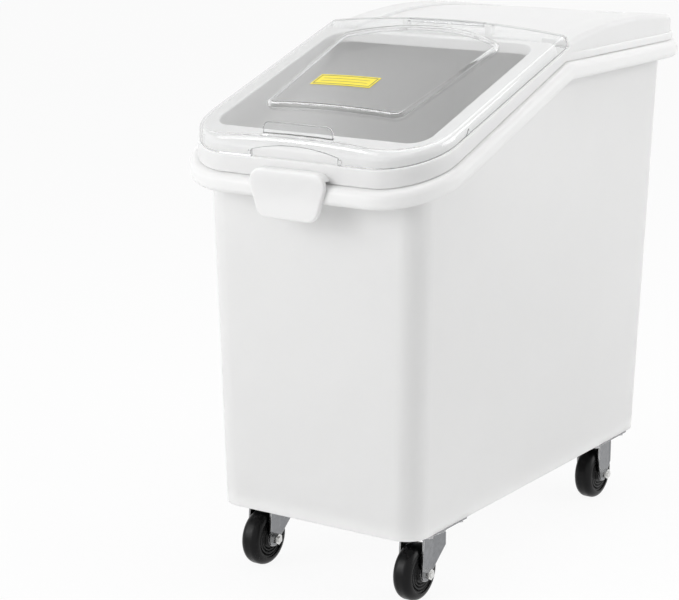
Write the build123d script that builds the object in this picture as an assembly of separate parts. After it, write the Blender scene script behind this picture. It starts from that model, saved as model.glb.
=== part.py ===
"""Rolling ingredient bin: tapered tub, lift-off lid with a clear flip lid, two swivel and two fixed casters.

Millimetres. +Z is up, the front of the bin faces -Y, and z = 0 is the ground under the wheels.
Every piece is drawn about the middle of the rim and moved by FRAME_SHIFT_Y when it is written, so that the
origin lies under the middle of the whole bin.
"""
import math
import os

from build123d import *

# Tub: set-back of its bottom from the rim, taper and walls
TUB_SIDE_SETBACK = 36.4
TUB_END_SETBACK = 53.5
TUB_BOTTOM_FORWARD = 8.4
TUB_CORNER = 32.0
TUB_DRAFT = 0.0255
TUB_WALL = 3.6
TUB_FLOOR = 4.5
TUB_FLOOR_FILLET = 14.0
TUB_FRONT_HEIGHT = 446.3
TUB_REAR_HEIGHT = 568.4

# Rim: a sloped front half and a level rear half, with a rolled bead round the outside
RIM_WIDTH = 373.8
RIM_LENGTH = 739.6
RIM_FRONT_CORNER = 82.0
RIM_REAR_CORNER = 100.0
RIM_KINK_FORWARD = 18.6
RIM_KINK_RADIUS = 26.0
BEAD_PROUD = 8.0
BEAD_HEIGHT = 24.0
BEAD_WALL = 4.0
BEAD_ROUND = 8.5

# Lid frame: wall, band round its rear half, collar round the mouth, crowned rear deck
LID_SEAT_GAP = 0.3
LID_WALL = 3.0
BAND_HEIGHT = 11.0
BAND_ROUND = 2.0
BAND_FADE = 60.0
BAND_FADE_DEPTH = 0.3
WALL_STEP_SIDE = 3.0
WALL_STEP_END = 2.4
COLLAR_CLEARANCE = 0.9
COLLAR_UNDER_CLEAR = 14.0
COLLAR_ROUND = 7.0
COLLAR_REAR_GAP = 15.0
COLLAR_REAR_CORNER = 14.0
LEDGE_GAP = 0.4
DECK_CREST_RISE = 42.0
DECK_CREST_BACK = 175.0
DECK_RADIUS = 1050.0
DECK_ROUND = 7.0
DECK_FRONT_GAP = 2.5
TROUGH_WIDTH = 286.0
TROUGH_DEPTH = 4.5
TROUGH_CROWN = 3.5
TROUGH_END_MARGIN = 34.0
TROUGH_CORNER = 24.0
PLUG_CLEARANCE = 0.8
PLUG_WALL = 2.5
PLUG_DEPTH = 11.0
MOUTH_FRONT_BAND = 6.0
MOUTH_REAR_BAND = 14.0
MOUTH_CORNER = 28.0
MOUTH_LIP = 14.0
MOUTH_ROUND = 2.0

# Lift handle moulded on the front of the lid frame
HANDLE_TOP_WIDTH = 122.0
HANDLE_BOTTOM_WIDTH = 84.0
HANDLE_ABOVE_RIM = 15.0
HANDLE_BELOW_RIM = 45.0
HANDLE_BRIDGE = 9.0
HANDLE_THICKNESS = 5.4
HANDLE_WALL = 2.8
HANDLE_GAP = 0.6
HANDLE_CORNER = 16.0
HANDLE_EDGE = 3.0

# Clear flip lid
CLEAR_SIDE_SETBACK = 5.9
CLEAR_FRONT_SETBACK = 3.3
CLEAR_REAR_FORWARD = 12.0
CLEAR_CORNER = 78.0
CLEAR_WALL = 2.6
CLEAR_ABOVE_RIM_FRONT = 25.0
CLEAR_ABOVE_RIM_REAR = 17.6
CLEAR_HEIGHT = 27.0
CLEAR_CROWN_RISE = 10.8
CLEAR_ROUND = 7.5
CLEAR_REAR_ROUND = 1.2
PANEL_RAISE = 6.0
PANEL_FRONT_WIDTH = 200.0
PANEL_REAR_WIDTH = 238.0
PANEL_FRONT_SETBACK = 79.0
PANEL_LENGTH = 213.0
PANEL_BOW = 28.0
PANEL_CORNER = 14.0
ARCH_WIDTH = 126.0
ARCH_RISE = 17.2
ARCH_SPRING = 9.0
TAB_WIDTH = 102.0
TAB_HEIGHT = 14.0
TAB_THICKNESS = 2.6
TAB_CORNER = 9.0
NIB_RADIUS = 2.0
NIB_LIFT = 0.5
NIB_HEIGHT = 7.0
NIB_BESIDE_ARCH = 3.0
MARK_SETBACK = 104.0
MARK_WIDTH = 10.0
MARK_HEIGHT = 7.0
MARK_LIFT = 1.0
MARK_PROUD = 0.8

# Hinge between the clear lid and the deck
HINGE_ABOVE_RIM = 36.6
HINGE_BACK = 8.0
HINGE_PIN_DIAMETER = 4.0
HINGE_PIN_FIT = 0.06
HINGE_KNUCKLE_RADIUS = 5.0
HINGE_KNUCKLE_WIDTH = 115.0
HINGE_LUG_WIDTH = 10.0
HINGE_SIDE_GAP = 0.5

# Blank sticker on the clear lid
LABEL_WIDTH = 89.0
LABEL_LENGTH = 28.0
LABEL_THICKNESS = 0.4
LABEL_LEFT = 21.0
LABEL_SETBACK = 145.0
LABEL_FIT = 0.02

# Casters
WHEEL_DIAMETER = 75.0
WHEEL_WIDTH = 26.0
WHEEL_TREAD_ROUND = 9.5
TYRE_INNER_DIAMETER = 54.0
TYRE_FIT = 0.05
HUB_LENGTH = 28.0
HUB_FACE_WIDTH = 23.0
HUB_BARREL_DIAMETER = 24.0
HUB_RING_DIAMETERS = (30.0, 38.0, 47.0)
HUB_RING_WIDTH = 2.8
HUB_RING_DEPTH = 1.8
CASTER_HEIGHT = 95.0
CASTER_SIDE_INSET = 33.1
FRONT_PLATE_INSET = 91.2
REAR_PLATE_INSET = 78.9
SWIVEL_TRAIL = 35.0
PLATE_LENGTH = 92.0
PLATE_WIDTH = 65.0
PLATE_THICKNESS = 2.5
PLATE_CORNER = 8.0
BOLT_PITCH_LENGTH = 75.0
BOLT_PITCH_WIDTH = 45.0
FORK_STEEL = 2.2
FORK_BEND = 4.0
FORK_SIDE_GAP = 2.0
FORK_EYE_RADIUS = 10.5
FORK_FOLD_BACK = 15.0
FORK_FLARE = 0.16
FORK_FRONT_REACH = 42.0
FORK_REAR_REACH = 5.0
FORK_SHOULDER = 20.0
RIGID_LEG_FRONT = 15.0
RIGID_LEG_REAR = 19.5
RIGID_LEG_LOW = 52.0
RACE_RADIUS = 17.0
RACE_CUP_RADIUS = 24.5
RACE_CUP_WALL = 1.6
RACE_CUP_GAP = 0.6
BALL_DIAMETER = 6.0
BALL_PLAY = 0.3
BALL_COUNT = 10
KINGPIN_DIAMETER = 12.0
KINGPIN_FIT = 0.08
KINGPIN_HEAD_DIAMETER = 19.0
KINGPIN_HEAD_HEIGHT = 3.5
KINGPIN_PLAY = 0.3
SLEEVE_DIAMETER = 12.0
SLEEVE_END_PLAY = 0.15
SLEEVE_FIT = 0.06
WHEEL_WASHER_DIAMETER = 22.0
WHEEL_WASHER_THICKNESS = 1.2
AXLE_DIAMETER = 8.0
AXLE_FIT = 0.05
AXLE_HEX = 13.0
AXLE_HEAD_HEIGHT = 5.3
AXLE_NUT_HEIGHT = 7.0
AXLE_END = 2.0
BOLT_DIAMETER = 6.0
BOLT_FIT = 0.3
BOLT_HEX = 10.0
BOLT_HEAD_HEIGHT = 4.0
WASHER_DIAMETER = 12.5
WASHER_THICKNESS = 1.2
INSERT_DIAMETER = 9.0
INSERT_LENGTH = 10.0
INSERT_FIT = 0.02
BOSS_DIAMETER = 17.0
BOSS_HEIGHT = 13.0

# Places worked out from the sizes above
FRAME_SHIFT_Y = (HANDLE_GAP + HANDLE_THICKNESS) / 2
RIM_FRONT_Y = -RIM_LENGTH / 2
RIM_REAR_Y = RIM_LENGTH / 2
TUB_BOTTOM_WIDTH = RIM_WIDTH - 2 * TUB_SIDE_SETBACK
TUB_BOTTOM_LENGTH = RIM_LENGTH - 2 * TUB_END_SETBACK
CLEAR_WIDTH = RIM_WIDTH - 2 * CLEAR_SIDE_SETBACK
CLEAR_CROWN_RADIUS = (CLEAR_WIDTH**2 / 4 + CLEAR_CROWN_RISE**2) / (2 * CLEAR_CROWN_RISE)
KINK_Y = -RIM_KINK_FORWARD
RIM_FRONT_Z = CASTER_HEIGHT + TUB_FRONT_HEIGHT
RIM_REAR_Z = CASTER_HEIGHT + TUB_REAR_HEIGHT
RIM_SLOPE = (RIM_REAR_Z - RIM_FRONT_Z) / (KINK_Y - RIM_FRONT_Y)
CLEAR_FRONT_Y = RIM_FRONT_Y + CLEAR_FRONT_SETBACK
CLEAR_REAR_Y = -CLEAR_REAR_FORWARD
CLEAR_FRONT_Z = RIM_FRONT_Z + CLEAR_ABOVE_RIM_FRONT
CLEAR_SLOPE = (RIM_REAR_Z + CLEAR_ABOVE_RIM_REAR - CLEAR_FRONT_Z) / (CLEAR_REAR_Y - CLEAR_FRONT_Y)
COLLAR_REAR_Y = CLEAR_REAR_Y - COLLAR_REAR_GAP
COLLAR_RISE = CLEAR_HEIGHT - COLLAR_UNDER_CLEAR
PLUG_BOTTOM_Z = RIM_FRONT_Z - PLUG_DEPTH
DECK_FRONT_Y = CLEAR_REAR_Y + DECK_FRONT_GAP
DECK_AXIS_Z = RIM_REAR_Z + DECK_CREST_RISE - DECK_RADIUS
HINGE_Y = CLEAR_REAR_Y + HINGE_BACK
HINGE_Z = RIM_REAR_Z + HINGE_ABOVE_RIM
AXLE_Z = WHEEL_DIAMETER / 2
PLATE_BOTTOM_Z = CASTER_HEIGHT - PLATE_THICKNESS
CROWN_TOP_Z = PLATE_BOTTOM_Z - BALL_DIAMETER - 2 * BALL_PLAY
CROWN_BOTTOM_Z = CROWN_TOP_Z - FORK_STEEL
FORK_INNER = HUB_LENGTH + 2 * FORK_SIDE_GAP
FORK_OUTER = FORK_INNER + 2 * FORK_STEEL
FAR = 2 * RIM_LENGTH
UP = (Align.CENTER, Align.CENTER, Align.MIN)
DOWN = (Align.CENTER, Align.CENTER, Align.MAX)


def clear_z(y, above=0.0):
    """Height of the clear lid's lower plane, or of a plane a given height above it."""
    return CLEAR_FRONT_Z + (y - CLEAR_FRONT_Y) * CLEAR_SLOPE + above


def deck_z(y):
    """Height of the crowned deck along its rails."""
    return DECK_AXIS_Z + math.sqrt(DECK_RADIUS**2 - (y - DECK_CREST_BACK) ** 2)


def prism_along_x(outline):
    """Closed outline of (y, z) points as a prism right across the bin."""
    return extrude(Plane.YZ * make_face(outline), FAR, both=True)


def under_rim(drop=0.0):
    """Everything below the rim surface, or below that surface lowered by drop."""
    far_front = -FAR
    start = (far_front, RIM_FRONT_Z + (far_front - RIM_FRONT_Y) * RIM_SLOPE - drop)
    kink = (KINK_Y, RIM_REAR_Z - drop)
    end = (FAR, RIM_REAR_Z - drop)
    top = FilletPolyline(start, kink, end, radius=RIM_KINK_RADIUS)
    closing = Polyline(end, (FAR, -2 * FAR), (far_front, -2 * FAR), start)
    return prism_along_x(top + closing)


def under_clear(above):
    """Everything below a plane parallel to the clear lid's lower edge."""
    start = (-FAR, clear_z(-FAR, above))
    end = (FAR, clear_z(FAR, above))
    return prism_along_x(Polyline(start, end, (FAR, -2 * FAR), (-FAR, -2 * FAR), close=True))


def slice_y(front, rear):
    """Slab of space between two y places."""
    return Pos(0, (front + rear) / 2, 0) * Box(FAR, rear - front, 2 * FAR)


def corner_outline(width, front, rear, front_radius, rear_radius):
    """Plan outline with one corner radius in front and another at the rear."""
    outline = Pos(0, (front + rear) / 2) * Rectangle(width, rear - front)
    outline = fillet(outline.vertices().group_by(Axis.Y)[0], front_radius)
    return fillet(outline.vertices().group_by(Axis.Y)[-1], rear_radius)


def rim_prism(side, end):
    """Upright prism of the rim outline, drawn in by side and end (negative spreads it)."""
    outline = corner_outline(
        RIM_WIDTH - 2 * side,
        RIM_FRONT_Y + end,
        RIM_REAR_Y - end,
        RIM_FRONT_CORNER - side,
        RIM_REAR_CORNER - side,
    )
    return extrude(outline, FAR)


def tub_outline(z, inset):
    """Tub outline at a height, drawn in by inset."""
    grow = (z - CASTER_HEIGHT) * TUB_DRAFT - inset
    outline = RectangleRounded(TUB_BOTTOM_WIDTH + 2 * grow, TUB_BOTTOM_LENGTH + 2 * grow, TUB_CORNER - inset)
    return Pos(0, -TUB_BOTTOM_FORWARD, z) * outline


def tub_block(inset, bottom, top):
    """Tapered block between two heights."""
    return loft([tub_outline(bottom, inset), tub_outline(top, inset)], ruled=True)


def bolt_places():
    """The sixteen caster bolts, as x, y."""
    places = []
    for x, y in caster_places():
        for dx in (-BOLT_PITCH_WIDTH / 2, BOLT_PITCH_WIDTH / 2):
            for dy in (-BOLT_PITCH_LENGTH / 2, BOLT_PITCH_LENGTH / 2):
                places.append((x + dx, y + dy))
    return places


def caster_places():
    """Middle of each caster plate: front left, front right, rear left, rear right."""
    half = TUB_BOTTOM_WIDTH / 2 - CASTER_SIDE_INSET
    front = FRONT_PLATE_INSET - TUB_BOTTOM_LENGTH / 2 - TUB_BOTTOM_FORWARD
    rear = TUB_BOTTOM_LENGTH / 2 - TUB_BOTTOM_FORWARD - REAR_PLATE_INSET
    return [(-half, front), (half, front), (-half, rear), (half, rear)]


def ring_edges(solid):
    """Edges of a rim block that run round its outside, without its upright seams and its kink lines."""
    picked = []
    for edge in solid.edges():
        middle = edge.position_at(0.5)
        box = edge.bounding_box()
        upright = box.size.X < 0.01 and box.size.Y < 0.01
        across = box.size.Y < 0.01 and box.size.Z < 0.01
        inside = abs(middle.Y) < RIM_LENGTH / 4
        if not upright and not (across and inside):
            picked.append(edge)
    return picked


def rim_bead():
    """Flange and rolled bead round the mouth, open underneath."""
    block = rim_prism(-BEAD_PROUD, -BEAD_PROUD) & under_rim() - under_rim(BEAD_HEIGHT)
    block = fillet(ring_edges(block), BEAD_ROUND)
    inner = BEAD_WALL - BEAD_PROUD
    hollow = rim_prism(inner, inner) & under_rim(BEAD_WALL) - under_rim(2 * BEAD_HEIGHT)
    return block - (hollow - tub_block(0, CASTER_HEIGHT, RIM_REAR_Z + 1))


def tub():
    """Tapered open tub with the rolled rim, and bosses in its floor for the caster bolts."""
    high = RIM_REAR_Z + BEAD_HEIGHT
    body = (tub_block(0, CASTER_HEIGHT, high) & under_rim()) + rim_bead()
    floor = CASTER_HEIGHT + TUB_FLOOR
    cavity = tub_block(TUB_WALL, floor, high)
    cavity = fillet(cavity.edges().group_by(Axis.Z)[0], TUB_FLOOR_FILLET)
    body -= cavity
    for x, y in bolt_places():
        body += Pos(x, y, CASTER_HEIGHT) * Cylinder(BOSS_DIAMETER / 2, BOSS_HEIGHT, align=UP)
    for x, y in bolt_places():
        hole = Cylinder(INSERT_DIAMETER / 2 + INSERT_FIT, INSERT_LENGTH + INSERT_FIT, align=UP)
        body -= Pos(x, y, CASTER_HEIGHT) * hole
    return body


def edges_above(solid, height):
    """Edges that lie more than a height above the clear lid's lower plane, without upright seams."""
    picked = []
    for edge in solid.edges():
        middle = edge.position_at(0.5)
        box = edge.bounding_box()
        upright = box.size.X < 0.01 and box.size.Y < 0.01
        if not upright and middle.Z > clear_z(middle.Y, height):
            picked.append(edge)
    return picked


def wall_prism(inset=0.0):
    """Upright prism of the lid frame's wall, drawn in by inset."""
    return rim_prism(WALL_STEP_SIDE + inset, WALL_STEP_END + inset)


def collar_block(inset=0.0):
    """Block of the collar that stands inside the clear lid, drawn in and lowered by inset."""
    gap = CLEAR_WALL + COLLAR_CLEARANCE + inset
    outline = corner_outline(
        CLEAR_WIDTH - 2 * gap,
        CLEAR_FRONT_Y + gap,
        COLLAR_REAR_Y - inset,
        CLEAR_CORNER - gap,
        COLLAR_REAR_CORNER,
    )
    block = extrude(outline, FAR) & under_clear(COLLAR_RISE - inset)
    return fillet(edges_above(block, 0), COLLAR_ROUND - inset)


def deck_rails(lower=0.0):
    """Everything under the crowned rails of the deck, or under those rails lowered."""
    return Pos(0, DECK_CREST_BACK, DECK_AXIS_Z) * Rot(0, 90, 0) * Cylinder(DECK_RADIUS - lower, FAR)


def trough_floor(lower=0.0):
    """Ring of revolution whose outside is the trough's floor, crowned across as well as along the bin."""
    half = TROUGH_WIDTH / 2 + LID_WALL
    edge = DECK_RADIUS - TROUGH_DEPTH - lower
    inside = edge - 2 * DECK_CREST_RISE
    crown = ThreePointArc((-half, edge), (0, edge + TROUGH_CROWN), (half, edge))
    closing = Polyline((half, edge), (half, inside), (-half, inside), (-half, edge))
    upright = Plane((0, DECK_CREST_BACK, DECK_AXIS_Z), x_dir=(1, 0, 0), z_dir=(0, -1, 0))
    axis = Axis((0, DECK_CREST_BACK, DECK_AXIS_Z), (1, 0, 0))
    return revolve(upright * make_face(crown + closing), axis)


def trough(spread=0.0):
    """The shallow trough sunk in the deck and open to the front, spread by a wall where asked."""
    rear = RIM_REAR_Y - TROUGH_END_MARGIN + spread
    front = DECK_FRONT_Y - TROUGH_CORNER
    outline = corner_outline(TROUGH_WIDTH + 2 * spread, front, rear, LID_WALL, TROUGH_CORNER + spread)
    return Pos(0, 0, RIM_REAR_Z) * extrude(outline, FAR) - trough_floor(spread)


def deck_block():
    """Solid block of the rear deck with rounded shoulders."""
    block = wall_prism() & deck_rails() & slice_y(DECK_FRONT_Y, FAR)
    block -= under_rim(-BAND_HEIGHT / 2)
    shoulders = []
    for edge in edges_above(block, -FAR):
        middle = edge.position_at(0.5)
        if middle.Z > RIM_REAR_Z + BAND_HEIGHT and middle.Y > DECK_FRONT_Y + 1:
            shoulders.append(edge)
    return fillet(shoulders, DECK_ROUND) - trough()


def seat_band(prism):
    """Lowest part of the lid, which sits on the rim, with rounded edges."""
    block = prism & under_rim(-BAND_HEIGHT) - under_rim(-LID_SEAT_GAP)
    return fillet(ring_edges(block), BAND_ROUND)


def beside_band(side):
    """Space beside the front end of the rear band, so that the band grows out of the plain wall."""
    outer = RIM_WIDTH / 2 + WALL_STEP_SIDE
    rise = WALL_STEP_SIDE + BAND_FADE_DEPTH
    foot = RIM_WIDTH / 2 - rise
    tip_y = KINK_Y + BAND_FADE * (outer - foot) / rise
    corners = [(side * foot, KINK_Y), (side * outer, KINK_Y), (side * outer, tip_y)]
    outline = make_face(Polyline(*corners, close=True))
    return extrude(outline, FAR)


def frame_block():
    """Lid frame before it is hollowed: plain wall, ledge and collar in front, band and deck behind."""
    front = seat_band(wall_prism()) & slice_y(-FAR, DECK_FRONT_Y)
    rear = seat_band(rim_prism(0, 0)) & slice_y(KINK_Y, FAR)
    for side in (-1, 1):
        rear = rear - beside_band(side)
    ledge = wall_prism() & under_clear(-LEDGE_GAP) & slice_y(-FAR, DECK_FRONT_Y)
    collar = collar_block() - under_clear(-LEDGE_GAP - LID_WALL)
    return front + rear + (ledge - under_rim(-BAND_HEIGHT / 2)) + collar + deck_block()


def frame_hollow():
    """Space inside the lid frame, open downwards."""
    under_ledge = wall_prism(LID_WALL) & under_clear(-LEDGE_GAP - LID_WALL)
    under_ledge = under_ledge & slice_y(-FAR, DECK_FRONT_Y + 2 * LID_WALL)
    under_deck = wall_prism(LID_WALL) & deck_rails(LID_WALL) & slice_y(DECK_FRONT_Y + LID_WALL, FAR)
    return under_ledge + collar_block(LID_WALL) + (under_deck - trough(LID_WALL))


def plug_prism(inset):
    """Upright prism of the plug that reaches into the tub, drawn in by inset."""
    outline = tub_outline(PLUG_BOTTOM_Z, TUB_WALL + PLUG_CLEARANCE + inset)
    return extrude(Pos(0, 0, -PLUG_BOTTOM_Z) * outline, FAR)


def mouth_prism(spread=0.0):
    """Upright prism of the mouth in front of the deck, spread by a lip where asked."""
    inset = TUB_WALL + PLUG_CLEARANCE + PLUG_WALL - spread
    grow = (PLUG_BOTTOM_Z - CASTER_HEIGHT) * TUB_DRAFT - inset
    outline = corner_outline(
        TUB_BOTTOM_WIDTH + 2 * grow,
        -TUB_BOTTOM_FORWARD - TUB_BOTTOM_LENGTH / 2 - grow + MOUTH_FRONT_BAND,
        COLLAR_REAR_Y - MOUTH_REAR_BAND + spread,
        TUB_CORNER - inset,
        MOUTH_CORNER + spread,
    )
    return extrude(outline, FAR)


def mouth_edges(frame):
    """Upper edges of the mouth, on the top of the collar."""
    picked = []
    for edge in frame.edges():
        middle = edge.position_at(0.5)
        on_top = abs(middle.Z - clear_z(middle.Y, COLLAR_RISE)) < 0.05
        if on_top and edge.bounding_box().max.Y < COLLAR_REAR_Y - MOUTH_REAR_BAND + 1:
            picked.append(edge)
    return picked


def handle_face(inset=0.0):
    """Outline of the lift handle seen from the front, drawn in by inset."""
    top = RIM_FRONT_Z + HANDLE_ABOVE_RIM - inset
    bottom = RIM_FRONT_Z - HANDLE_BELOW_RIM + inset
    half_top = HANDLE_TOP_WIDTH / 2 - inset
    half_bottom = HANDLE_BOTTOM_WIDTH / 2 - inset
    face = make_face(
        Polyline((-half_top, top), (half_top, top), (half_bottom, bottom), (-half_bottom, bottom), close=True)
    )
    return fillet(face.vertices(), HANDLE_CORNER - inset)


def handle():
    """Lift handle: a paddle before the bead, hollow at the back for the fingers, and a bridge to the lid."""
    inner = RIM_FRONT_Y - BEAD_PROUD - HANDLE_GAP
    root = RIM_FRONT_Y + WALL_STEP_END + LID_WALL / 2
    bridge_low = RIM_FRONT_Z + HANDLE_ABOVE_RIM - HANDLE_BRIDGE
    under_bridge = Pos(0, inner, bridge_low) * Box(FAR, FAR, FAR, align=DOWN)
    paddle = Pos(0, inner, 0) * extrude(Plane.XZ * handle_face(), HANDLE_THICKNESS)
    paddle = fillet(paddle.faces().sort_by(Axis.Y)[0].edges(), HANDLE_EDGE)
    hollow = extrude(Plane.XZ * handle_face(HANDLE_WALL), HANDLE_THICKNESS - HANDLE_WALL)
    paddle -= (Pos(0, inner, 0) * hollow) & under_bridge
    bridge = Pos(0, root, 0) * extrude(Plane.XZ * handle_face(), root - inner) - under_bridge
    return paddle + bridge


def hinge_bar(radius, width, x=0.0):
    """Round bar on the hinge line."""
    return Pos(x, HINGE_Y, HINGE_Z) * Rot(0, 90, 0) * Cylinder(radius, width)


def hinge_lugs():
    """Two lugs that stand on the deck and hold the hinge pin."""
    foot = deck_z(HINGE_Y) - TROUGH_DEPTH
    offset = HINGE_KNUCKLE_WIDTH / 2 + HINGE_SIDE_GAP + HINGE_LUG_WIDTH / 2
    post = Pos(0, HINGE_Y, foot) * Box(HINGE_LUG_WIDTH, 2 * HINGE_KNUCKLE_RADIUS, HINGE_Z - foot, align=UP)
    lugs = Part()
    for x in (-offset, offset):
        lugs += Pos(x, 0, 0) * post
        lugs += hinge_bar(HINGE_KNUCKLE_RADIUS, HINGE_LUG_WIDTH, x)
    return lugs


def lid_frame():
    """White lid that covers the rim: mouth with a collar in front, crowned deck behind, lift handle."""
    block = frame_block()
    frame = block - frame_hollow()
    reach = block + (under_rim(-BAND_HEIGHT) - under_rim(PLUG_DEPTH))
    frame += reach & plug_prism(0) - plug_prism(PLUG_WALL)
    lip_zone = under_clear(COLLAR_RISE - LID_WALL / 2) - under_clear(COLLAR_RISE - MOUTH_LIP)
    frame += mouth_prism(PLUG_WALL) & lip_zone
    frame -= mouth_prism()
    frame = fillet(mouth_edges(frame), MOUTH_ROUND)
    frame += handle()
    frame += hinge_lugs()
    return frame - hinge_bar(HINGE_PIN_DIAMETER / 2 + HINGE_PIN_FIT, FAR)


def crown(above=0.0):
    """Everything under the clear lid's crowned top, or under that top raised."""
    slope = math.atan(CLEAR_SLOPE)
    along = (0, math.cos(slope), math.sin(slope))
    middle = (0, CLEAR_FRONT_Y, clear_z(CLEAR_FRONT_Y, CLEAR_HEIGHT))
    sunk = (0, math.sin(slope) * CLEAR_CROWN_RADIUS, -math.cos(slope) * CLEAR_CROWN_RADIUS)
    place = Plane(Vector(middle) + Vector(sunk), x_dir=(1, 0, 0), z_dir=along)
    return place * Cylinder(CLEAR_CROWN_RADIUS + above, FAR)


def clear_block(inset=0.0):
    """Block of the clear lid with rounded top edges and a cut-off rear end, drawn in and lowered by inset."""
    outline = corner_outline(
        CLEAR_WIDTH - 2 * inset,
        CLEAR_FRONT_Y + inset,
        RIM_REAR_Y,
        CLEAR_CORNER - inset,
        CLEAR_ROUND,
    )
    block = extrude(outline, FAR) & crown(-inset) - under_clear(-inset)
    block = fillet(edges_above(block, CLEAR_HEIGHT / 3), CLEAR_ROUND - inset)
    return block & slice_y(-FAR, CLEAR_REAR_Y - inset)


def panel_block(inset=0.0):
    """Raised panel of the clear lid, drawn in and lowered by inset."""
    front = CLEAR_FRONT_Y + PANEL_FRONT_SETBACK + inset
    rear = front + PANEL_LENGTH - 2 * inset
    half_front = PANEL_FRONT_WIDTH / 2 - inset
    half_rear = PANEL_REAR_WIDTH / 2 - inset
    sides = Polyline((-half_rear, rear), (-half_front, front), (half_front, front), (half_rear, rear))
    bow = ThreePointArc((half_rear, rear), (0, rear + PANEL_BOW), (-half_rear, rear))
    outline = make_face(sides + bow)
    outline = fillet(outline.vertices(), PANEL_CORNER - inset)
    block = extrude(outline, FAR) & crown(PANEL_RAISE - inset) - crown(-CLEAR_WALL - inset)
    return fillet(edges_above(block, CLEAR_HEIGHT + PANEL_RAISE / 4), (PANEL_RAISE - inset) / 2)


def arch_cut():
    """Shallow arch in the front edge of the clear lid, for the fingers."""
    half = ARCH_WIDTH / 2
    low = CLEAR_FRONT_Z - CLEAR_HEIGHT
    spring = CLEAR_FRONT_Z + ARCH_SPRING
    top = ThreePointArc((-half, spring), (0, CLEAR_FRONT_Z + ARCH_RISE), (half, spring))
    sides = Polyline((half, spring), (half, low), (-half, low), (-half, spring))
    face = make_face(top + sides)
    return Pos(0, CLEAR_FRONT_Y, 0) * extrude(Plane.XZ * face, 2 * CLEAR_WALL, both=True)


def finger_tab():
    """Standing tab across the front of the clear lid."""
    front = CLEAR_FRONT_Y + CLEAR_ROUND
    crest = clear_z(front, CLEAR_HEIGHT)
    low = crest - CLEAR_WALL / 2
    face = Pos(0, (low + crest + TAB_HEIGHT) / 2) * Rectangle(TAB_WIDTH, crest + TAB_HEIGHT - low)
    face = fillet(face.vertices().group_by(Axis.Y)[-1], TAB_CORNER)
    return Pos(0, front + TAB_THICKNESS, 0) * extrude(Plane.XZ * face, TAB_THICKNESS)


def snap_nibs():
    """Upright nibs beside the arch that click over the lid frame."""
    low = CLEAR_FRONT_Z + NIB_LIFT
    offset = ARCH_WIDTH / 2 + NIB_BESIDE_ARCH
    nibs = Part()
    for x in (-offset, offset):
        nibs += Pos(x, CLEAR_FRONT_Y, low) * Cylinder(NIB_RADIUS, NIB_HEIGHT, align=UP)
    return nibs


def side_marks():
    """Raised triangle on each side of the clear lid that shows where to press."""
    middle = CLEAR_FRONT_Y + MARK_SETBACK
    front = middle - MARK_WIDTH / 2
    rear = middle + MARK_WIDTH / 2
    face = make_face(
        Polyline(
            (front, clear_z(front, MARK_LIFT)),
            (rear, clear_z(rear, MARK_LIFT)),
            (middle, clear_z(middle, MARK_LIFT + MARK_HEIGHT)),
            close=True,
        )
    )
    marks = extrude(Plane.YZ * face, CLEAR_WIDTH / 2 + MARK_PROUD, both=True)
    return marks - Box(CLEAR_WIDTH - CLEAR_WALL, FAR, FAR)


def clear_lid():
    """Clear flip lid: crowned shell with a raised panel, finger tab, arch and hinge knuckle."""
    shell = clear_block()
    rear = [edge for edge in edges_above(shell, 1) if edge.position_at(0.5).Y > CLEAR_REAR_Y - 0.01]
    shell = fillet(rear, CLEAR_REAR_ROUND) + panel_block()
    shell -= clear_block(CLEAR_WALL) + panel_block(CLEAR_WALL)
    shell -= arch_cut()
    shell += finger_tab() + snap_nibs() + side_marks()
    reach = HINGE_Y - CLEAR_REAR_Y + CLEAR_WALL / 2
    web = Box(HINGE_KNUCKLE_WIDTH, reach, HINGE_KNUCKLE_RADIUS, align=(Align.CENTER, Align.MAX, Align.CENTER))
    shell += Pos(0, HINGE_Y, HINGE_Z) * web
    shell += hinge_bar(HINGE_KNUCKLE_RADIUS, HINGE_KNUCKLE_WIDTH)
    return shell - hinge_bar(HINGE_PIN_DIAMETER / 2 + HINGE_PIN_FIT, FAR)


def hinge_pin():
    """Steel pin through the knuckle and both lugs."""
    return hinge_bar(HINGE_PIN_DIAMETER / 2, HINGE_KNUCKLE_WIDTH + 2 * (HINGE_SIDE_GAP + HINGE_LUG_WIDTH))


def label():
    """Blank sticker that follows the raised panel."""
    outline = Pos(-LABEL_LEFT, CLEAR_FRONT_Y + LABEL_SETBACK) * Rectangle(LABEL_WIDTH, LABEL_LENGTH)
    under = PANEL_RAISE + LABEL_FIT
    return extrude(outline, FAR) & crown(under + LABEL_THICKNESS) - crown(under)


def hexagon(across, height):
    """Hexagon bar standing on z = 0."""
    return extrude(RegularPolygon(across / 2, 6, major_radius=False), height)


def plate_holes(x, y):
    """Holes for the four bolts of one caster plate."""
    hole = Cylinder(BOLT_DIAMETER / 2 + BOLT_FIT, 4 * PLATE_THICKNESS)
    holes = Part()
    for dx in (-BOLT_PITCH_WIDTH / 2, BOLT_PITCH_WIDTH / 2):
        for dy in (-BOLT_PITCH_LENGTH / 2, BOLT_PITCH_LENGTH / 2):
            holes += Pos(x + dx, y + dy, CASTER_HEIGHT) * hole
    return holes


def flat_plate(x, y):
    """Caster plate with rounded corners and four bolt holes."""
    outline = RectangleRounded(PLATE_WIDTH, PLATE_LENGTH, PLATE_CORNER)
    return Pos(x, y, PLATE_BOTTOM_Z) * extrude(outline, PLATE_THICKNESS) - plate_holes(x, y)


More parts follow.
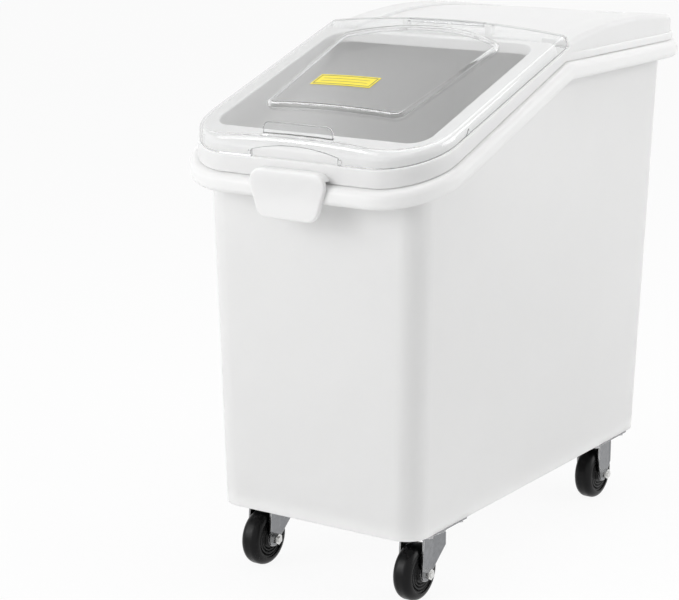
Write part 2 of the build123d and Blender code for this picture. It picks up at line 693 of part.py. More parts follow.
def top_plate(x, y):
    """Plate of a swivel caster with the cup that covers its balls."""
    cup_height = PLATE_BOTTOM_Z - CROWN_TOP_Z - RACE_CUP_GAP
    cup = Cylinder(RACE_CUP_RADIUS, cup_height, align=DOWN)
    cup -= Cylinder(RACE_CUP_RADIUS - RACE_CUP_WALL, cup_height, align=DOWN)
    plate = flat_plate(x, y) + Pos(x, y, PLATE_BOTTOM_Z) * cup
    return plate - Pos(x, y, CASTER_HEIGHT) * Cylinder(KINGPIN_DIAMETER / 2 + KINGPIN_FIT, FAR)


def kingpin(x, y):
    """Rivet that the fork turns on, its head under the fork."""
    under = CROWN_BOTTOM_Z - KINGPIN_PLAY
    pin = Pos(0, 0, under) * Cylinder(KINGPIN_DIAMETER / 2, CASTER_HEIGHT - under, align=UP)
    head = Pos(0, 0, under) * Cylinder(KINGPIN_HEAD_DIAMETER / 2, KINGPIN_HEAD_HEIGHT, align=DOWN)
    return Pos(x, y, 0) * (pin + fillet(head.edges().group_by(Axis.Z)[0], KINGPIN_HEAD_HEIGHT / 2))


def ball_race(x, y):
    """Ring of balls between the plate and the fork."""
    level = (PLATE_BOTTOM_Z + CROWN_TOP_Z) / 2
    balls = []
    for place in PolarLocations(RACE_RADIUS, BALL_COUNT):
        balls.append(Pos(x, y, level) * place * Sphere(BALL_DIAMETER / 2))
    return Compound(balls)


def fork_block(half, top, fold, bend):
    """Block under a fork's crown: straight to the fold, flared behind it, with bent upper edges."""
    reach = PLATE_LENGTH
    wide = half + reach * FORK_FLARE
    right = [(half, fold - reach), (half, fold), (wide, fold + reach)]
    left = [(-x, y) for x, y in reversed(right)]
    block = extrude(make_face(Polyline(*right, *left, close=True)), top)
    bent = []
    for edge in block.edges().group_by(Axis.Z)[-1]:
        if abs(edge.position_at(0.5).X) > half / 2:
            bent.append(edge)
    return fillet(bent, bend)


def fork_channel(top, fold):
    """Inverted channel of bent sheet under a given height, its legs flared behind the fold."""
    outer = fork_block(FORK_OUTER / 2, top, fold, FORK_BEND)
    return outer - fork_block(FORK_INNER / 2, top - FORK_STEEL, fold, FORK_BEND - FORK_STEEL)


def axle_hole(y):
    """Hole across both legs of a fork."""
    return Pos(0, y, AXLE_Z) * Rot(0, 90, 0) * Cylinder(AXLE_DIAMETER / 2 + AXLE_FIT, FAR)


def swivel_fork(x, y):
    """Fork of a swivel caster: bent channel that leans forward to the axle, with a disc under the balls."""
    eye = Pos(-SWIVEL_TRAIL, AXLE_Z) * Circle(FORK_EYE_RADIUS)
    upper = make_face(
        Polyline(
            (-FORK_FRONT_REACH, CROWN_TOP_Z),
            (FORK_REAR_REACH, CROWN_TOP_Z),
            (FORK_REAR_REACH, CROWN_TOP_Z - FORK_SHOULDER),
            close=True,
        )
    )
    disc_radius = RACE_CUP_RADIUS - RACE_CUP_WALL - RACE_CUP_GAP
    side = make_hull(eye.edges() + upper.edges())
    channel = fork_channel(CROWN_TOP_Z, FORK_FOLD_BACK - SWIVEL_TRAIL)
    fork = channel & extrude(Plane.YZ * side, FORK_OUTER, both=True)
    fork += Pos(0, 0, CROWN_TOP_Z) * Cylinder(disc_radius, FORK_STEEL, align=DOWN)
    fork -= Pos(0, 0, CROWN_TOP_Z) * Cylinder(KINGPIN_DIAMETER / 2 + KINGPIN_FIT, FORK_STEEL * 4)
    return Pos(x, y, 0) * (fork - axle_hole(-SWIVEL_TRAIL))


def rigid_fork(x, y):
    """Fork of a fixed caster: a plate with two legs down to the axle."""
    eye = Pos(0, AXLE_Z) * Circle(FORK_EYE_RADIUS)
    height = PLATE_BOTTOM_Z - RIGID_LEG_LOW
    middle = (RIGID_LEG_REAR - RIGID_LEG_FRONT) / 2
    root = Rectangle(RIGID_LEG_FRONT + RIGID_LEG_REAR, height, align=(Align.CENTER, Align.MIN))
    side = make_hull(eye.edges() + (Pos(middle, RIGID_LEG_LOW) * root).edges())
    legs = fork_channel(CASTER_HEIGHT, FORK_FOLD_BACK) & extrude(Plane.YZ * side, FORK_OUTER, both=True)
    return flat_plate(x, y) + Pos(x, y, 0) * (legs - axle_hole(0))


def axle_bolt(x, y):
    """Hexagon bolt through the fork, head on the left."""
    half = FORK_OUTER / 2
    length = FORK_OUTER + AXLE_NUT_HEIGHT + AXLE_END
    shank = Pos(-half, 0, 0) * Rot(0, 90, 0) * Cylinder(AXLE_DIAMETER / 2, length, align=UP)
    head = Pos(-half, 0, 0) * Rot(0, -90, 0) * hexagon(AXLE_HEX, AXLE_HEAD_HEIGHT)
    return Pos(x, y, AXLE_Z) * (shank + head)


def axle_nut(x, y):
    """Lock nut on the right-hand leg."""
    nut = hexagon(AXLE_HEX, AXLE_NUT_HEIGHT)
    nut -= Cylinder(AXLE_DIAMETER / 2 + AXLE_FIT, 4 * AXLE_NUT_HEIGHT)
    return Pos(x + FORK_OUTER / 2, y, AXLE_Z) * Rot(0, 90, 0) * nut


def sleeve(x, y):
    """Spacer tube and two washers clamped between the legs; the wheel runs on the tube."""
    washer_place = FORK_INNER / 2 - SLEEVE_END_PLAY - WHEEL_WASHER_THICKNESS / 2
    length = FORK_INNER - 2 * WHEEL_WASHER_THICKNESS - 4 * SLEEVE_END_PLAY
    bore = Cylinder(AXLE_DIAMETER / 2 + AXLE_FIT, FORK_INNER)
    tube = Cylinder(SLEEVE_DIAMETER / 2, length) - bore
    washer = Cylinder(WHEEL_WASHER_DIAMETER / 2, WHEEL_WASHER_THICKNESS) - bore
    pieces = [tube, Pos(0, 0, -washer_place) * washer, Pos(0, 0, washer_place) * washer]
    return Pos(x, y, AXLE_Z) * Rot(0, 90, 0) * Compound(pieces)


def turned(profile, x, y):
    """Ring turned about an axle from a closed outline of radius and half width."""
    points = profile + [(radius, -half) for radius, half in reversed(profile)]
    ring = revolve(Plane.XZ * make_face(Polyline(*points, close=True)), Axis.Z)
    return Pos(x, y, AXLE_Z) * Rot(0, 90, 0) * ring


def hub(x, y):
    """Wheel centre: barrel and face in one, with ring grooves on both sides."""
    face = HUB_FACE_WIDTH / 2
    profile = [
        (SLEEVE_DIAMETER / 2 + SLEEVE_FIT, HUB_LENGTH / 2),
        (HUB_BARREL_DIAMETER / 2 - FORK_SIDE_GAP, HUB_LENGTH / 2),
        (HUB_BARREL_DIAMETER / 2, face),
    ]
    for diameter in HUB_RING_DIAMETERS:
        profile.append(((diameter - HUB_RING_WIDTH) / 2, face))
        profile.append((diameter / 2, face - HUB_RING_DEPTH))
        profile.append(((diameter + HUB_RING_WIDTH) / 2, face))
    profile.append((TYRE_INNER_DIAMETER / 2, face))
    return turned(profile, x, y)


def tyre(x, y):
    """Solid tyre with a rounded tread."""
    inner = TYRE_INNER_DIAMETER / 2 + TYRE_FIT
    outer = WHEEL_DIAMETER / 2
    ring = Cylinder(outer, WHEEL_WIDTH)
    ring = fillet(ring.edges().filter_by(GeomType.CIRCLE), WHEEL_TREAD_ROUND)
    ring -= Cylinder(inner, WHEEL_WIDTH)
    return Pos(x, y, AXLE_Z) * Rot(0, 90, 0) * ring


def caster_bolts():
    """Sixteen hexagon bolts that hold the casters."""
    bolts = []
    under = PLATE_BOTTOM_Z - WASHER_THICKNESS
    for x, y in bolt_places():
        shank = Cylinder(BOLT_DIAMETER / 2, CASTER_HEIGHT + INSERT_LENGTH - 1 - under, align=UP)
        head = Pos(0, 0, -BOLT_HEAD_HEIGHT) * hexagon(BOLT_HEX, BOLT_HEAD_HEIGHT)
        bolts.append(Pos(x, y, under) * (shank + head))
    return Compound(bolts)


def caster_washers():
    """Washers under the bolt heads."""
    ring = Cylinder(WASHER_DIAMETER / 2, WASHER_THICKNESS, align=DOWN)
    ring -= Cylinder(BOLT_DIAMETER / 2 + BOLT_FIT, WASHER_THICKNESS, align=DOWN)
    return Compound([Pos(x, y, PLATE_BOTTOM_Z) * ring for x, y in bolt_places()])


def caster_inserts():
    """Threaded brass inserts in the floor bosses."""
    ring = Cylinder(INSERT_DIAMETER / 2, INSERT_LENGTH, align=UP)
    ring -= Cylinder(BOLT_DIAMETER / 2 + INSERT_FIT, INSERT_LENGTH, align=UP)
    return Compound([Pos(x, y, CASTER_HEIGHT) * ring for x, y in bolt_places()])


def save(name, shape):
    """Write one piece in the frame of the whole bin."""
    export_step(Pos(0, FRAME_SHIFT_Y, 0) * shape, f"parts/{name}.step")


def save_wheel(name, x, y):
    """Write the axle and the wheel of one caster."""
    save(f"{name}_axle_bolt", axle_bolt(x, y))
    save(f"{name}_axle_nut", axle_nut(x, y))
    save(f"{name}_sleeve", sleeve(x, y))
    save(f"{name}_hub", hub(x, y))
    save(f"{name}_tyre", tyre(x, y))


def save_swivel_caster(name, x, y):
    """Write a caster that turns about its kingpin."""
    save(f"{name}_plate", top_plate(x, y))
    save(f"{name}_kingpin", kingpin(x, y))
    save(f"{name}_balls", ball_race(x, y))
    save(f"{name}_fork", swivel_fork(x, y))
    save_wheel(name, x, y - SWIVEL_TRAIL)


def save_rigid_caster(name, x, y):
    """Write a caster that keeps its direction."""
    save(f"{name}_fork", rigid_fork(x, y))
    save_wheel(name, x, y)


os.makedirs("parts", exist_ok=True)
FRONT_LEFT, FRONT_RIGHT, REAR_LEFT, REAR_RIGHT = caster_places()
save("tub", tub())
save("lid_frame", lid_frame())
save("clear_lid", clear_lid())
save("hinge_pin", hinge_pin())
save("label", label())
save_swivel_caster("front_left", *FRONT_LEFT)
save_swivel_caster("front_right", *FRONT_RIGHT)
save_rigid_caster("rear_left", *REAR_LEFT)
save_rigid_caster("rear_right", *REAR_RIGHT)
save("caster_bolts", caster_bolts())
save("caster_washers", caster_washers())
save("caster_inserts", caster_inserts())
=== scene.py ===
import math

import bpy
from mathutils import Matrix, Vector


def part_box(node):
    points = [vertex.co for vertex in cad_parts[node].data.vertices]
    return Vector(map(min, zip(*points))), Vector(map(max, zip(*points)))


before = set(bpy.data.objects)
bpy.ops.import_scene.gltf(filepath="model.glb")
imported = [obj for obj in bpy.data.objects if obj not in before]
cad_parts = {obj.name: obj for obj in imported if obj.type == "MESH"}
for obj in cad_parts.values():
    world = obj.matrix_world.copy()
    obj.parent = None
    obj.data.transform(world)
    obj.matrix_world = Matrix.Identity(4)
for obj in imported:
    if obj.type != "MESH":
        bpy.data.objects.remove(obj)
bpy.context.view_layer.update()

# Picture the camera is set for, in pixels, and where the lens axis meets it
PICTURE = (679, 600)
LENS_POINT = (309.9, 320.7)
FOCAL_PIXELS = 2115.8

# Camera, metres, with its sensor in millimetres
CAMERA_PLACE = (1.4311, -2.4373, 0.9877)
CAMERA_AZIMUTH = math.radians(34.17)
CAMERA_ELEVATION = math.radians(13.81)
CAMERA_REACH = 100.0
SENSOR = 36.0

# Soft boxes: name, place and size in metres, power in watts; all aim at the middle of the bin
LAMPS = (
    ("left_box", (-1.7, -2.9, 1.5), (3.0, 2.6), 46),
    ("left_core", (-1.66, -2.83, 1.47), (0.55, 0.9), 9),
    ("right_box", (2.7, 1.3, 1.4), (2.0, 2.2), 35),
    ("top_box", (0.2, 0.2, 3.0), (2.4, 2.4), 25),
)
LAMP_AIM = (0, 0, 0.35)

# Floor and surroundings
FLOOR_REACH = 12.0
FLOOR_GREY = (0.86, 0.86, 0.86, 1)
FLOOR_ROUGHNESS = 0.9
FLOOR_WHITE_SHARE = 0.92
WHITE = (1, 1, 1, 1)
WORLD_LIGHT = 0.5

# Colours of the finishes, linear
BODY_WHITE = (0.878, 0.878, 0.873, 1)
LID_WHITE = (0.84, 0.84, 0.838, 1)
CLEAR_TINT = (0.970, 0.974, 0.974, 1)
# Painted shade: dark colour laid on the clear sheet's edges and on faces seen at a low angle
CLEAR_PAINTED_EDGE_SHADE = (0.055, 0.06, 0.063, 1)
CLEAR_PASSED = (0.98, 0.98, 0.98, 1)
ZINC = (0.27, 0.275, 0.285, 1)
NUT_ZINC = (0.72, 0.72, 0.71, 1)
TURNED_STEEL = (0.50, 0.50, 0.51, 1)
# Lighter metal colour on sharp edges: partly wear, partly painted highlight
RUBBED_METAL_AND_PAINTED_HIGHLIGHT = (0.80, 0.80, 0.79, 1)
BRASS = (0.72, 0.50, 0.20, 1)
WHEEL_BLACK = (0.005, 0.005, 0.0055, 1)
# Greyer colour on wheel edges: partly scuffs, partly painted glints on the hub rings
RUBBED_BLACK_AND_PAINTED_GLINT = (0.065, 0.065, 0.066, 1)
STICKER_YELLOW = (0.95, 0.80, 0.03, 1)
STICKER_INK = (0.02, 0.02, 0.02, 1)

# Roughness of the finishes, from their shiniest to their dullest patches
TUB_GLOSS = (0.36, 0.46)
LID_GLOSS = (0.40, 0.50)
CLEAR_GLOSS = (0.015, 0.05)
STICKER_GLOSS = (0.3, 0.42)
ZINC_GLOSS = (0.13, 0.28)
NUT_GLOSS = (0.16, 0.32)
BOLT_GLOSS = (0.3, 0.5)
TURNED_GLOSS = (0.2, 0.36)
BALL_GLOSS = (0.06, 0.14)
HUB_GLOSS = (0.16, 0.26)
TYRE_GLOSS = (0.24, 0.36)

# Moulded skins: share of tone drift, fine grain per metre, and bump as strength and depth in metres
WHITE_DRIFT = 0.025
WHITE_GRAIN = 1100.0
WHITE_BUMP = (0.12, 0.00012)
CLEAR_DRIFT = 0.003
CLEAR_GRAIN = 500.0
CLEAR_BUMP = (0.02, 0.0001)
WHEEL_DRIFT = 0.3
WHEEL_GRAIN = 700.0
WHEEL_BUMP = (0.1, 0.00012)
STICKER_DRIFT = 0.06
STICKER_GRAIN = 600.0
STICKER_BUMP = (0.05, 0.0001)
DRIFT_SCALE = 5.0
PATCH_SCALE = 38.0
WAVE_SCALE = 12.0
WAVE_SHARE = 6.0

# Metals: share of cloudy tone, clouds per metre, drawn lines per metre along X, Y and Z, and bump
METAL_CLOUD = 0.18
METAL_CLOUD_SCALE = 160.0
NUT_CLOUD = 0.12
NUT_CLOUD_SCALE = 260.0
BALL_CLOUD = 0.06
DRAWN_LINES = (900.0, 900.0, 60.0)
METAL_BUMP = (0.08, 0.00008)

# White polypropylene; the depths are how far light wanders in the tub and in the lid, metres
POLYPROPYLENE_IOR = 1.49
POLYPROPYLENE_SHINE = 0.35
WANDER_SHARE = 0.8
TUB_DEPTH = 0.012
LID_DEPTH = 0.005

# Clear polycarbonate; painted shade darkens faces seen at a low angle over this range of the facing value
POLYCARBONATE_IOR = 1.46
LOW_ANGLE = (0.60, 0.95)
LOW_ANGLE_PAINTED_SHADE = 0.85
CAUGHT_DEPTH = 4.5

# Wheel plastic and its thin clear skin
WHEEL_SHINE = 0.15
WHEEL_SKIN = 0.06
WHEEL_SKIN_ROUGHNESS = 0.22

# Edge masks for the painted shade on the clear sheet's edges and the partly painted highlights and glints
# on metal and wheel edges: widths in metres, and how far the normal turns from no mask to full mask
CLEAR_EDGE_WIDTH = 0.0019
METAL_EDGE_WIDTH = 0.0013
METAL_EDGE_SHARE = 0.8
WHEEL_EDGE_WIDTH = 0.0006
EDGE_TURN = (0.98, 0.80)
EDGE_SAMPLES = 8

# Ink on the sticker, metres: its frame and its two writing lines
INK_MARGIN = 0.003
INK_FRAME_HALF = 0.0006
INK_LINE_OFFSET = 0.0035
INK_LINE_HALF = 0.0004
INK_LINE_MARGIN = 0.010

# Range that most of a noise texture's values lie in
NOISE_RANGE = (0.3, 0.7)

# Sockets of a Mix node that mixes colours
MIX_FIRST = 6
MIX_SECOND = 7
MIX_RESULT = 2


def set_inputs(node, values):
    """Input values of a node; spaces in a socket's name are written as _."""
    for name, value in values.items():
        node.inputs[name.replace("_", " ")].default_value = value


def add(tree, kind, **values):
    """One shader node with its input values."""
    made = tree.nodes.new(kind)
    set_inputs(made, values)
    return made


def add_group(tree, group, **values):
    """A shader node group placed in a material with its own input values."""
    made = tree.nodes.new("ShaderNodeGroup")
    made.node_tree = group
    set_inputs(made, values)
    return made


def feed(tree, value, socket):
    """Give a socket a plain number, or link another socket to it."""
    if isinstance(value, (int, float)):
        socket.default_value = value
    else:
        tree.links.new(value, socket)


def maths(tree, operation, *values):
    """A maths node fed by sockets or plain numbers."""
    made = tree.nodes.new("ShaderNodeMath")
    made.operation = operation
    for value, socket in zip(values, made.inputs):
        feed(tree, value, socket)
    return made.outputs[0]


def new_group(name, inputs, outputs):
    """An empty shader node group; inputs are (name, kind, default) and outputs (name, kind)."""
    group = bpy.data.node_groups.new(name, "ShaderNodeTree")
    for label, kind, default in inputs:
        socket = group.interface.new_socket(label, in_out="INPUT", socket_type=kind)
        socket.default_value = default
    for label, kind in outputs:
        group.interface.new_socket(label, in_out="OUTPUT", socket_type=kind)
    entry = group.nodes.new("NodeGroupInput")
    leave = group.nodes.new("NodeGroupOutput")
    return group, entry.outputs, leave.inputs


def noise(tree, where, scale, detail, roughness=0.5):
    """Noise over a place vector; scale is a number or a socket."""
    made = add(tree, "ShaderNodeTexNoise", Detail=detail, Roughness=roughness)
    tree.links.new(where, made.inputs["Vector"])
    feed(tree, scale, made.inputs["Scale"])
    return made.outputs["Fac"]


def spread(tree, value, low, high):
    """Noise value stretched from its usual range to a range of sockets or numbers."""
    made = add(tree, "ShaderNodeMapRange", From_Min=NOISE_RANGE[0], From_Max=NOISE_RANGE[1])
    tree.links.new(value, made.inputs["Value"])
    feed(tree, low, made.inputs["To Min"])
    feed(tree, high, made.inputs["To Max"])
    return made.outputs["Result"]


def scaled_colour(tree, colour, factor):
    """A colour socket times a grey factor."""
    mix = add(tree, "ShaderNodeMix", Factor=1.0)
    mix.data_type = "RGBA"
    mix.blend_type = "MULTIPLY"
    tree.links.new(colour, mix.inputs[MIX_FIRST])
    tree.links.new(factor, mix.inputs[MIX_SECOND])
    return mix.outputs[MIX_RESULT]


def moulded_skin():
    """Moulded plastic: slow tone drift of the melt, uneven gloss and a fine tool-mark grain."""
    group, given, out = new_group(
        "moulded_skin",
        [
            ("Colour", "NodeSocketColor", (0.8, 0.8, 0.8, 1)),
            ("Drift", "NodeSocketFloat", 0.02),
            ("Gloss Low", "NodeSocketFloat", 0.35),
            ("Gloss High", "NodeSocketFloat", 0.45),
            ("Grain Scale", "NodeSocketFloat", 900.0),
        ],
        [("Colour", "NodeSocketColor"), ("Roughness", "NodeSocketFloat"), ("Height", "NodeSocketFloat")],
    )
    where = group.nodes.new("ShaderNodeTexCoord").outputs["Object"]
    slow = noise(group, where, DRIFT_SCALE, detail=3.0)
    shade = spread(group, slow, maths(group, "SUBTRACT", 1.0, given["Drift"]), 1.0)
    group.links.new(scaled_colour(group, given["Colour"], shade), out["Colour"])
    patchy = noise(group, where, PATCH_SCALE, detail=4.0, roughness=0.6)
    group.links.new(spread(group, patchy, given["Gloss Low"], given["Gloss High"]), out["Roughness"])
    fine = noise(group, where, given["Grain Scale"], detail=2.0)
    wave = noise(group, where, WAVE_SCALE, detail=1.0)
    height = maths(group, "ADD", fine, maths(group, "MULTIPLY", wave, WAVE_SHARE))
    group.links.new(height, out["Height"])
    return group


def worked_metal():
    """Plated or turned metal: cloudy tone, small bright and dull patches, and fine drawn lines."""
    group, given, out = new_group(
        "worked_metal",
        [
            ("Colour", "NodeSocketColor", (0.6, 0.6, 0.6, 1)),
            ("Cloud", "NodeSocketFloat", 0.15),
            ("Gloss Low", "NodeSocketFloat", 0.22),
            ("Gloss High", "NodeSocketFloat", 0.42),
            ("Cloud Scale", "NodeSocketFloat", 160.0),
        ],
        [("Colour", "NodeSocketColor"), ("Roughness", "NodeSocketFloat"), ("Height", "NodeSocketFloat")],
    )
    where = group.nodes.new("ShaderNodeTexCoord").outputs["Object"]
    cloud = noise(group, where, given["Cloud Scale"], detail=5.0, roughness=0.65)
    shade = spread(group, cloud, maths(group, "SUBTRACT", 1.0, given["Cloud"]), 1.0)
    group.links.new(scaled_colour(group, given["Colour"], shade), out["Colour"])
    group.links.new(spread(group, cloud, given["Gloss High"], given["Gloss Low"]), out["Roughness"])
    stretch = add(group, "ShaderNodeMapping", Scale=DRAWN_LINES)
    group.links.new(where, stretch.inputs["Vector"])
    drawn = noise(group, stretch.outputs["Vector"], scale=1.0, detail=3.0)
    group.links.new(drawn, out["Height"])
    return group


def edge_line():
    """Mask that is 1 along the sharp edges of a piece and 0 on its faces; Width in metres."""
    group, given, out = new_group(
        "edge_line",
        [("Width", "NodeSocketFloat", 0.001)],
        [("Mask", "NodeSocketFloat")],
    )
    bevel = group.nodes.new("ShaderNodeBevel")
    bevel.samples = EDGE_SAMPLES
    group.links.new(given["Width"], bevel.inputs["Radius"])
    turn = group.nodes.new("ShaderNodeVectorMath")
    turn.operation = "DOT_PRODUCT"
    group.links.new(bevel.outputs["Normal"], turn.inputs[0])
    group.links.new(group.nodes.new("ShaderNodeNewGeometry").outputs["Normal"], turn.inputs[1])
    ramp = add(group, "ShaderNodeMapRange", From_Min=EDGE_TURN[0], From_Max=EDGE_TURN[1])
    group.links.new(turn.outputs["Value"], ramp.inputs["Value"])
    group.links.new(ramp.outputs["Result"], out["Mask"])
    return group


MOULDED_SKIN = moulded_skin()
WORKED_METAL = worked_metal()
EDGE_LINE = edge_line()


def start_material(name, group, colour, gloss, **values):
    """A material whose Principled shader takes colour and roughness from a group, and that group's node."""
    made = bpy.data.materials.new(name)
    made.use_nodes = True
    tree = made.node_tree
    shader = tree.nodes["Principled BSDF"]
    skin = add_group(tree, group, Colour=colour, Gloss_Low=gloss[0], Gloss_High=gloss[1], **values)
    tree.links.new(skin.outputs["Colour"], shader.inputs["Base Color"])
    tree.links.new(skin.outputs["Roughness"], shader.inputs["Roughness"])
    return made, tree, shader, skin


def add_bump(tree, shader, skin, bump):
    """Bump from the height of a group; bump is its strength and its depth in metres."""
    strength, depth = bump
    made = add(tree, "ShaderNodeBump", Strength=strength, Distance=depth)
    tree.links.new(skin.outputs["Height"], made.inputs["Height"])
    tree.links.new(made.outputs["Normal"], shader.inputs["Normal"])


def edge_mask(tree, width):
    """Edge mask of a material; width in metres."""
    return add_group(tree, EDGE_LINE, Width=width).outputs["Mask"]


def tint(tree, shader, skin, mask, colour):
    """Base colour that goes from the group's colour to another where the mask is 1."""
    mix = tree.nodes.new("ShaderNodeMix")
    mix.data_type = "RGBA"
    mix.inputs[MIX_SECOND].default_value = colour
    tree.links.new(mask, mix.inputs["Factor"])
    tree.links.new(skin.outputs["Colour"], mix.inputs[MIX_FIRST])
    tree.links.new(mix.outputs[MIX_RESULT], shader.inputs["Base Color"])


def mix_surface(tree, share, first, second):
    """Surface of a material: the first shader, or the second where the share is 1."""
    mix = tree.nodes.new("ShaderNodeMixShader")
    tree.links.new(share, mix.inputs["Fac"])
    tree.links.new(first.outputs[0], mix.inputs[1])
    tree.links.new(second.outputs[0], mix.inputs[2])
    tree.links.new(mix.outputs["Shader"], tree.nodes["Material Output"].inputs["Surface"])


def moulded_white(name, colour, gloss, depth):
    """Satin white polypropylene that light wanders into, depth metres far."""
    made, tree, shader, skin = start_material(
        name, MOULDED_SKIN, colour, gloss, Drift=WHITE_DRIFT, Grain_Scale=WHITE_GRAIN
    )
    shader.inputs["IOR"].default_value = POLYPROPYLENE_IOR
    shader.inputs["Specular IOR Level"].default_value = POLYPROPYLENE_SHINE
    shader.inputs["Subsurface Weight"].default_value = WANDER_SHARE
    shader.inputs["Subsurface Radius"].default_value = (1.0, 1.0, 1.0)
    shader.inputs["Subsurface Scale"].default_value = depth
    add_bump(tree, shader, skin, WHITE_BUMP)
    return made


def straight_rays(tree):
    """1 for shadow rays, diffuse rays and rays caught between the faces of the clear sheet."""
    path = tree.nodes.new("ShaderNodeLightPath")
    soft = maths(tree, "MAXIMUM", path.outputs["Is Shadow Ray"], path.outputs["Is Diffuse Ray"])
    caught = maths(tree, "GREATER_THAN", path.outputs["Ray Depth"], CAUGHT_DEPTH)
    return maths(tree, "MAXIMUM", soft, caught)


def low_angle_painted_shade(tree):
    """Mask of painted shade that rises where a face is seen at a low angle."""
    ramp = add(
        tree, "ShaderNodeMapRange", From_Min=LOW_ANGLE[0], From_Max=LOW_ANGLE[1], To_Max=LOW_ANGLE_PAINTED_SHADE
    )
    facing = add(tree, "ShaderNodeLayerWeight", Blend=0.5).outputs["Facing"]
    tree.links.new(facing, ramp.inputs["Value"])
    return ramp.outputs["Result"]


def clear_sheet():
    """Clear polycarbonate with painted shade along its edges and on faces seen at a low angle; straight
    rays pass on without bending.
    """
    made, tree, shader, skin = start_material(
        "clear_sheet", MOULDED_SKIN, CLEAR_TINT, CLEAR_GLOSS, Drift=CLEAR_DRIFT, Grain_Scale=CLEAR_GRAIN
    )
    shader.inputs["IOR"].default_value = POLYCARBONATE_IOR
    shader.inputs["Transmission Weight"].default_value = 1.0
    add_bump(tree, shader, skin, CLEAR_BUMP)
    # Painted shade: the clear sheet darkens along its edges and where it is seen at a low angle
    dark = maths(tree, "MAXIMUM", edge_mask(tree, CLEAR_EDGE_WIDTH), low_angle_painted_shade(tree))
    tint(tree, shader, skin, dark, CLEAR_PAINTED_EDGE_SHADE)
    passed = add(tree, "ShaderNodeBsdfTransparent", Color=CLEAR_PASSED)
    mix_surface(tree, straight_rays(tree), shader, passed)
    return made


def worked(name, colour, gloss, cloud=METAL_CLOUD, scale=METAL_CLOUD_SCALE):
    """Plated or turned metal whose edges are painted lighter: partly wear, partly painted highlight."""
    made, tree, shader, skin = start_material(
        name, WORKED_METAL, colour, gloss, Cloud=cloud, Cloud_Scale=scale
    )
    shader.inputs["Metallic"].default_value = 1.0
    # Lighter edges: partly wear, partly painted highlight
    worn_and_painted_highlight = maths(tree, "MULTIPLY", edge_mask(tree, METAL_EDGE_WIDTH), METAL_EDGE_SHARE)
    tint(tree, shader, skin, worn_and_painted_highlight, RUBBED_METAL_AND_PAINTED_HIGHLIGHT)
    add_bump(tree, shader, skin, METAL_BUMP)
    return made


def wheel_black(name, gloss):
    """Black wheel plastic with a thin clear skin, and edges painted greyer: partly scuffs, partly painted
    glints.
    """
    made, tree, shader, skin = start_material(
        name, MOULDED_SKIN, WHEEL_BLACK, gloss, Drift=WHEEL_DRIFT, Grain_Scale=WHEEL_GRAIN
    )
    shader.inputs["Specular IOR Level"].default_value = WHEEL_SHINE
    shader.inputs["Coat Weight"].default_value = WHEEL_SKIN
    shader.inputs["Coat Roughness"].default_value = WHEEL_SKIN_ROUGHNESS
    # Greyer edges: partly scuffs, partly painted glints
    tint(tree, shader, skin, edge_mask(tree, WHEEL_EDGE_WIDTH), RUBBED_BLACK_AND_PAINTED_GLINT)
    add_bump(tree, shader, skin, WHEEL_BUMP)
    return made


def sticker_ink(tree):
    """Mask of the ink on the sticker: a thin frame and two blank writing lines."""
    low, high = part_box("label")
    middle = (low + high) / 2
    half = (high - low) / 2
    where = tree.nodes.new("ShaderNodeSeparateXYZ")
    tree.links.new(tree.nodes.new("ShaderNodeTexCoord").outputs["Object"], where.inputs[0])
    across = maths(tree, "ABSOLUTE", maths(tree, "SUBTRACT", where.outputs["X"], middle.x))
    along = maths(tree, "ABSOLUTE", maths(tree, "SUBTRACT", where.outputs["Y"], middle.y))
    in_x = maths(tree, "SUBTRACT", half.x - INK_MARGIN, across)
    in_y = maths(tree, "SUBTRACT", half.y - INK_MARGIN, along)
    off_frame = maths(tree, "ABSOLUTE", maths(tree, "MINIMUM", in_x, in_y))
    frame_line = maths(tree, "LESS_THAN", off_frame, INK_FRAME_HALF)
    off_line = maths(tree, "ABSOLUTE", maths(tree, "SUBTRACT", along, INK_LINE_OFFSET))
    on_line = maths(tree, "LESS_THAN", off_line, INK_LINE_HALF)
    in_length = maths(tree, "LESS_THAN", across, half.x - INK_LINE_MARGIN)
    return maths(tree, "MAXIMUM", frame_line, maths(tree, "MULTIPLY", on_line, in_length))


def sticker_film():
    """Yellow film with ink on it."""
    made, tree, shader, skin = start_material(
        "sticker_film",
        MOULDED_SKIN,
        STICKER_YELLOW,
        STICKER_GLOSS,
        Drift=STICKER_DRIFT,
        Grain_Scale=STICKER_GRAIN,
    )
    tint(tree, shader, skin, sticker_ink(tree), STICKER_INK)
    add_bump(tree, shader, skin, STICKER_BUMP)
    return made


def dress(material, *endings):
    """Give a material to every CAD node whose name ends so."""
    for name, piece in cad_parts.items():
        if name.endswith(endings):
            piece.data.materials.clear()
            piece.data.materials.append(material)


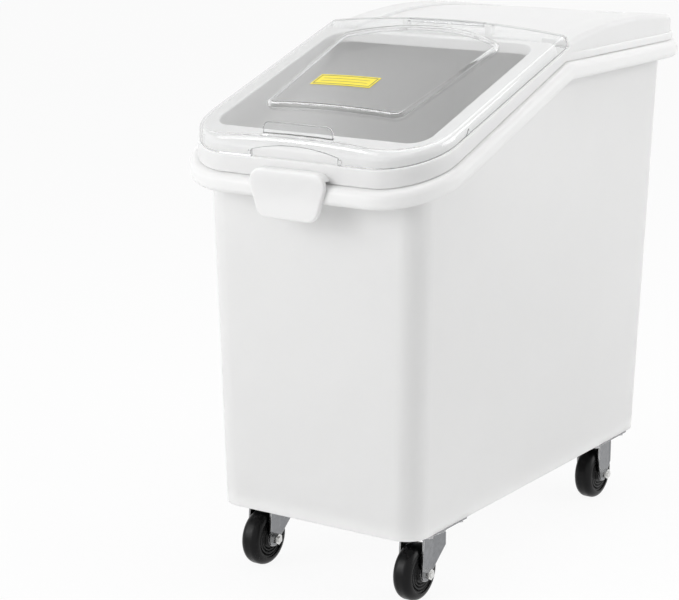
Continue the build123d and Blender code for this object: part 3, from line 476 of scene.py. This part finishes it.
def dress_all():
    """Finishes of all the pieces."""
    dress(moulded_white("tub_polypropylene", BODY_WHITE, TUB_GLOSS, TUB_DEPTH), "tub")
    dress(moulded_white("lid_polypropylene", LID_WHITE, LID_GLOSS, LID_DEPTH), "lid_frame")
    dress(clear_sheet(), "clear_lid")
    dress(sticker_film(), "label")
    dress(worked("zinc_sheet", ZINC, ZINC_GLOSS), "_fork", "_plate")
    nut = worked("zinc_nut", NUT_ZINC, NUT_GLOSS, NUT_CLOUD, NUT_CLOUD_SCALE)
    dress(nut, "_axle_nut", "_axle_bolt", "caster_washers")
    dress(worked("dark_bolt", TURNED_STEEL, BOLT_GLOSS), "caster_bolts")
    dress(worked("turned_steel", TURNED_STEEL, TURNED_GLOSS), "hinge_pin", "_kingpin", "_sleeve")
    dress(worked("ball_steel", NUT_ZINC, BALL_GLOSS, BALL_CLOUD), "_balls")
    dress(worked("turned_brass", BRASS, TURNED_GLOSS), "caster_inserts")
    dress(wheel_black("hub_nylon", HUB_GLOSS), "_hub")
    dress(wheel_black("tyre_tread", TYRE_GLOSS), "_tyre")


def add_object(name, data):
    """A new object in the scene."""
    made = bpy.data.objects.new(name, data)
    bpy.context.scene.collection.objects.link(made)
    return made


def set_camera():
    """Camera at the picture's viewing angle."""
    data = bpy.data.cameras.new("camera")
    data.sensor_width = SENSOR
    data.lens = FOCAL_PIXELS / PICTURE[0] * SENSOR
    data.shift_x = (PICTURE[0] / 2 - LENS_POINT[0]) / PICTURE[0]
    data.shift_y = (LENS_POINT[1] - PICTURE[1] / 2) / PICTURE[0]
    data.clip_end = CAMERA_REACH
    camera = add_object("camera", data)
    camera.location = CAMERA_PLACE
    camera.rotation_euler = (math.pi / 2 - CAMERA_ELEVATION, 0, CAMERA_AZIMUTH)
    bpy.context.scene.camera = camera


def seen_directly(tree):
    """1 for rays from the camera, through clear pieces and off glossy ones."""
    path = tree.nodes.new("ShaderNodeLightPath")
    seen = maths(tree, "MAXIMUM", path.outputs["Is Camera Ray"], path.outputs["Is Transmission Ray"])
    return maths(tree, "MAXIMUM", seen, path.outputs["Is Glossy Ray"])


def studio_floor():
    """Pale paint, nearly white to the eye but with the bin's soft shadow left in it."""
    made = bpy.data.materials.new("studio_floor")
    made.use_nodes = True
    tree = made.node_tree
    shader = tree.nodes["Principled BSDF"]
    shader.inputs["Base Color"].default_value = FLOOR_GREY
    shader.inputs["Roughness"].default_value = FLOOR_ROUGHNESS
    glow = add(tree, "ShaderNodeEmission", Color=WHITE, Strength=1.0)
    mix_surface(tree, maths(tree, "MULTIPLY", seen_directly(tree), FLOOR_WHITE_SHARE), shader, glow)
    return made


def white_floor():
    """Flat floor under the wheels."""
    mesh = bpy.data.meshes.new("floor")
    near, far = -FLOOR_REACH, FLOOR_REACH
    mesh.from_pydata([(near, near, 0), (far, near, 0), (far, far, 0), (near, far, 0)], [], [(0, 1, 2, 3)])
    mesh.materials.append(studio_floor())
    floor = add_object("floor", mesh)


def studio_world():
    """White surroundings to the eye, and a lower even light on the bin."""
    world = bpy.data.worlds.new("studio")
    bpy.context.scene.world = world
    world.use_nodes = True
    tree = world.node_tree
    back = tree.nodes["Background"]
    back.inputs["Color"].default_value = WHITE
    more = maths(tree, "MULTIPLY", seen_directly(tree), 1.0 - WORLD_LIGHT)
    tree.links.new(maths(tree, "ADD", more, WORLD_LIGHT), back.inputs["Strength"])


def light_studio():
    """Soft boxes that point at the middle of the bin."""
    for name, place, size, power in LAMPS:
        data = bpy.data.lights.new(name, "AREA")
        data.shape = "RECTANGLE"
        data.size, data.size_y = size
        data.energy = power
        lamp = add_object(name, data)
        lamp.location = place
        lamp.rotation_euler = (Vector(LAMP_AIM) - Vector(place)).to_track_quat("-Z", "Y").to_euler()


dress_all()
set_camera()
white_floor()
studio_world()
light_studio()
bpy.context.scene.view_settings.view_transform = "Standard"
